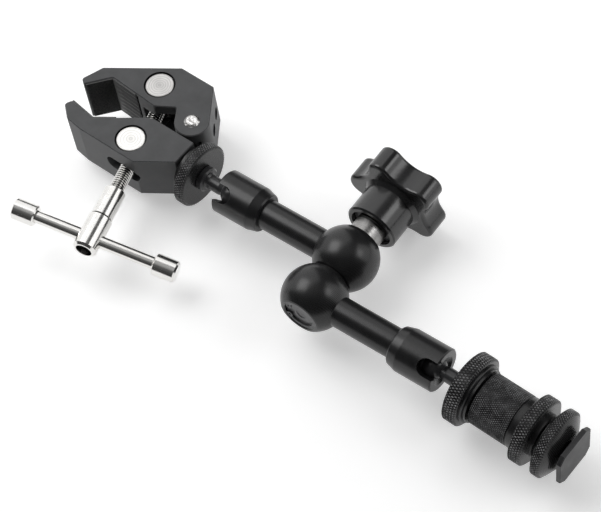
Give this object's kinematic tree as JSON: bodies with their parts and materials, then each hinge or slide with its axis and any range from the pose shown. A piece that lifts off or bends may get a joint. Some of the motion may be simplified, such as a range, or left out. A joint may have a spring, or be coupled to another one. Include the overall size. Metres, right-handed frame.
{
  "type": "articulating friction arm",
  "caption": "Articulating arm with a screw clamp, ball-jointed tubes on a knob-locked elbow, and a threaded adapter with a square shoe foot.",
  "frame": {"origin": "middle of the jaw mouth, on the axis of a gripped bar", "axes": "+X along the arm from the clamp to the shoe, +Y along the knob's axis towards the knob, +Z along the clamp's cross pins"},
  "size_m": [0.251, 0.1041, 0.0389],
  "materials": {
    "jaw_alloy": "satin anodised",
    "jaw_rubber": "matt",
    "bright_steel": "turned",
    "screw_steel": "plated",
    "bar_steel": "polished",
    "ring_black": "anodised",
    "stud_steel": "blackened",
    "arm_black": "gloss anodised",
    "inner_steel": "ground",
    "washer_fibre": "matt",
    "knob_black": "moulded",
    "bush_brass": "turned",
    "foot_alloy": "satin"
  },
  "bodies": {
    "lower_jaw": {"lower_jaw": "jaw_alloy", "lower_pad": "jaw_rubber"},
    "upper_jaw": {"upper_jaw": "jaw_alloy", "upper_pad": "jaw_rubber", "pivot_rivet": "bright_steel"},
    "upper_cross_pin": {"upper_cross_pin": "bright_steel"},
    "lower_cross_pin": {"lower_cross_pin": "bright_steel"},
    "clamp_screw": {"clamp_screw": "screw_steel", "screw_thrust_ring": "screw_steel", "screw_tip_clip": "screw_steel", "screw_hub": "bar_steel"},
    "sliding_bar": {"sliding_bar": "bar_steel", "bar_cap_left": "bar_steel", "bar_cap_right": "bar_steel"},
    "clamp_lock_ring": {"clamp_lock_ring": "ring_black"},
    "clamp_ball_stud": {"clamp_ball_stud": "stud_steel"},
    "clamp_ball_cup": {"clamp_ball_cup": "inner_steel"},
    "clamp_side_arm": {"clamp_side_socket": "arm_black", "clamp_side_tube": "arm_black", "clamp_side_knuckle": "arm_black", "friction_washer": "washer_fibre"},
    "clamp_side_push_rod": {"clamp_side_push_rod": "inner_steel"},
    "shoe_side_arm": {"shoe_side_knuckle": "arm_black", "shoe_side_tube": "arm_black", "shoe_side_socket": "arm_black", "cover_disc": "stud_steel", "retaining_ring": "stud_steel"},
    "shoe_side_push_rod": {"shoe_side_push_rod": "inner_steel"},
    "tension_bolt": {"tension_bolt": "bright_steel", "head_side_cone": "bright_steel"},
    "thrust_collar": {"thrust_collar": "bright_steel", "knob_side_cone": "bright_steel"},
    "knob": {"knob": "knob_black", "knob_bush": "bush_brass", "knob_washer": "bright_steel"},
    "shoe_ball_cup": {"shoe_ball_cup": "inner_steel"},
    "shoe_ball_stud": {"shoe_ball_stud": "stud_steel"},
    "shoe_lock_ring": {"shoe_lock_ring": "ring_black"},
    "grip_barrel": {"grip_barrel": "ring_black"},
    "shoe": {"shoe_foot": "foot_alloy", "shoe_stem": "stud_steel"},
    "jam_wheel": {"jam_wheel": "ring_black"},
    "clamp_wheel": {"clamp_wheel": "ring_black"}
  },
  "joints": [
    {"name": "jaw_opening", "type": "hinge", "parent": "lower_jaw", "child": "upper_jaw", "pos_m": [0.0363, 0.0113, 0], "axis": [0, 0, -1], "range_deg": [-10, 20]},
    {"name": "upper_pin_swivel", "type": "hinge", "parent": "upper_jaw", "child": "upper_cross_pin", "pos_m": [0.01414, 0.01774, 0], "axis": [0, 0, 1], "range_deg": [-5.49, 10.98]},
    {"name": "lower_pin_swivel", "type": "hinge", "parent": "lower_jaw", "child": "lower_cross_pin", "pos_m": [0.02157, -0.00869, 0], "axis": [0, 0, -1], "range_deg": [-4.51, 9.02]},
    {"name": "screw_turn", "type": "hinge", "parent": "upper_cross_pin", "child": "clamp_screw", "pos_m": [0.01414, 0.01774, 0], "axis": [0.2706, -0.9627, 0], "range_deg": [-1180.61, 2361.21]},
    {"name": "bar_slide", "type": "slide", "parent": "clamp_screw", "child": "sliding_bar", "axis": [0.9486, 0.2667, -0.1702], "range_m": [-0.02205, 0.01785]},
    {"name": "clamp_lock_ring_turn", "type": "hinge", "parent": "clamp_ball_stud", "child": "clamp_lock_ring", "pos_m": [0.0657, -0.0014, 0], "axis": [1, 0, 0], "continuous": true},
    {"name": "clamp_stud_spin", "type": "hinge", "parent": "lower_jaw", "child": "clamp_ball_stud", "pos_m": [0.0657, -0.0014, 0], "axis": [1, 0, 0], "continuous": true},
    {"name": "clamp_ball_tilt", "type": "hinge", "parent": "clamp_ball_stud", "child": "clamp_ball_cup", "pos_m": [0.0657, -0.0014, 0], "axis": [0.0298, -0.7766, -0.6293], "range_deg": [-12, 87]},
    {"name": "clamp_side_arm_roll", "type": "hinge", "parent": "clamp_ball_cup", "child": "clamp_side_arm", "pos_m": [0.0657, -0.0014, 0], "axis": [0.9993, 0.0384, 0], "range_deg": [0, 360]},
    {"name": "clamp_side_rod_slide", "type": "slide", "parent": "clamp_side_arm", "child": "clamp_side_push_rod", "axis": [0.9993, 0.0384, 0], "range_m": [0, 0.0003378]},
    {"name": "elbow_bend", "type": "hinge", "parent": "clamp_side_arm", "child": "shoe_side_arm", "pos_m": [0.11986, 0.00068, 0], "axis": [-0.0384, 0.9993, 0], "range_deg": [-150, 150]},
    {"name": "shoe_side_rod_slide", "type": "slide", "parent": "shoe_side_arm", "child": "shoe_side_push_rod", "axis": [-0.9993, -0.0384, -0.0035], "range_m": [0, 0.0001689]},
    {"name": "bolt_slide", "type": "slide", "parent": "shoe_side_arm", "child": "tension_bolt", "axis": [0.0384, -0.9993, 0], "range_m": [0, 0.0005]},
    {"name": "collar_slide", "type": "slide", "parent": "shoe_side_arm", "child": "thrust_collar", "axis": [-0.0384, 0.9993, 0], "range_m": [0, 0.001]},
    {"name": "knob_turn", "type": "hinge", "parent": "thrust_collar", "child": "knob", "pos_m": [0.11986, 0.00068, 0], "axis": [-0.0384, 0.9993, 0], "range_deg": [0, 540]},
    {"name": "shoe_side_cup_roll", "type": "hinge", "parent": "shoe_side_arm", "child": "shoe_ball_cup", "pos_m": [0.1748, -0.01762, 0.00019], "axis": [0.9993, 0.0384, 0.0035], "range_deg": [0, 360]},
    {"name": "shoe_ball_tilt", "type": "hinge", "parent": "shoe_ball_cup", "child": "shoe_ball_stud", "pos_m": [0.1748, -0.01762, 0.00019], "axis": [0.032, -0.7765, -0.6293], "range_deg": [-12, 87]},
    {"name": "shoe_lock_ring_turn", "type": "hinge", "parent": "shoe_ball_stud", "child": "shoe_lock_ring", "pos_m": [0.1748, -0.01762, 0.00019], "axis": [0.9999, -0.0122, 0], "continuous": true},
    {"name": "grip_barrel_turn", "type": "hinge", "parent": "shoe_ball_stud", "child": "grip_barrel", "pos_m": [0.1748, -0.01762, 0.00019], "axis": [0.9999, -0.0122, 0], "continuous": true},
    {"name": "shoe_turn", "type": "hinge", "parent": "grip_barrel", "child": "shoe", "pos_m": [0.1748, -0.01762, 0.00019], "axis": [0.9999, -0.0122, 0], "continuous": true},
    {"name": "jam_wheel_turn", "type": "hinge", "parent": "shoe", "child": "jam_wheel", "pos_m": [0.1748, -0.01762, 0.00019], "axis": [0.9999, -0.0122, 0], "continuous": true},
    {"name": "clamp_wheel_turn", "type": "hinge", "parent": "shoe", "child": "clamp_wheel", "pos_m": [0.1748, -0.01762, 0.00019], "axis": [0.9999, -0.0122, 0], "continuous": true}
  ],
  "couplings": [
    {"joint": "jaw_opening", "follows": "screw_turn", "ratio": 0.0084702},
    {"joint": "upper_pin_swivel", "follows": "screw_turn", "ratio": 0.0046483},
    {"joint": "lower_pin_swivel", "follows": "screw_turn", "ratio": 0.003822},
    {"joint": "knob_turn", "follows": "collar_slide", "rad_per_m": 9424.8},
    {"joint": "bolt_slide", "follows": "collar_slide", "ratio": 0.5},
    {"joint": "clamp_side_rod_slide", "follows": "collar_slide", "ratio": 0.3378},
    {"joint": "shoe_side_rod_slide", "follows": "collar_slide", "ratio": 0.1689}
  ]
}
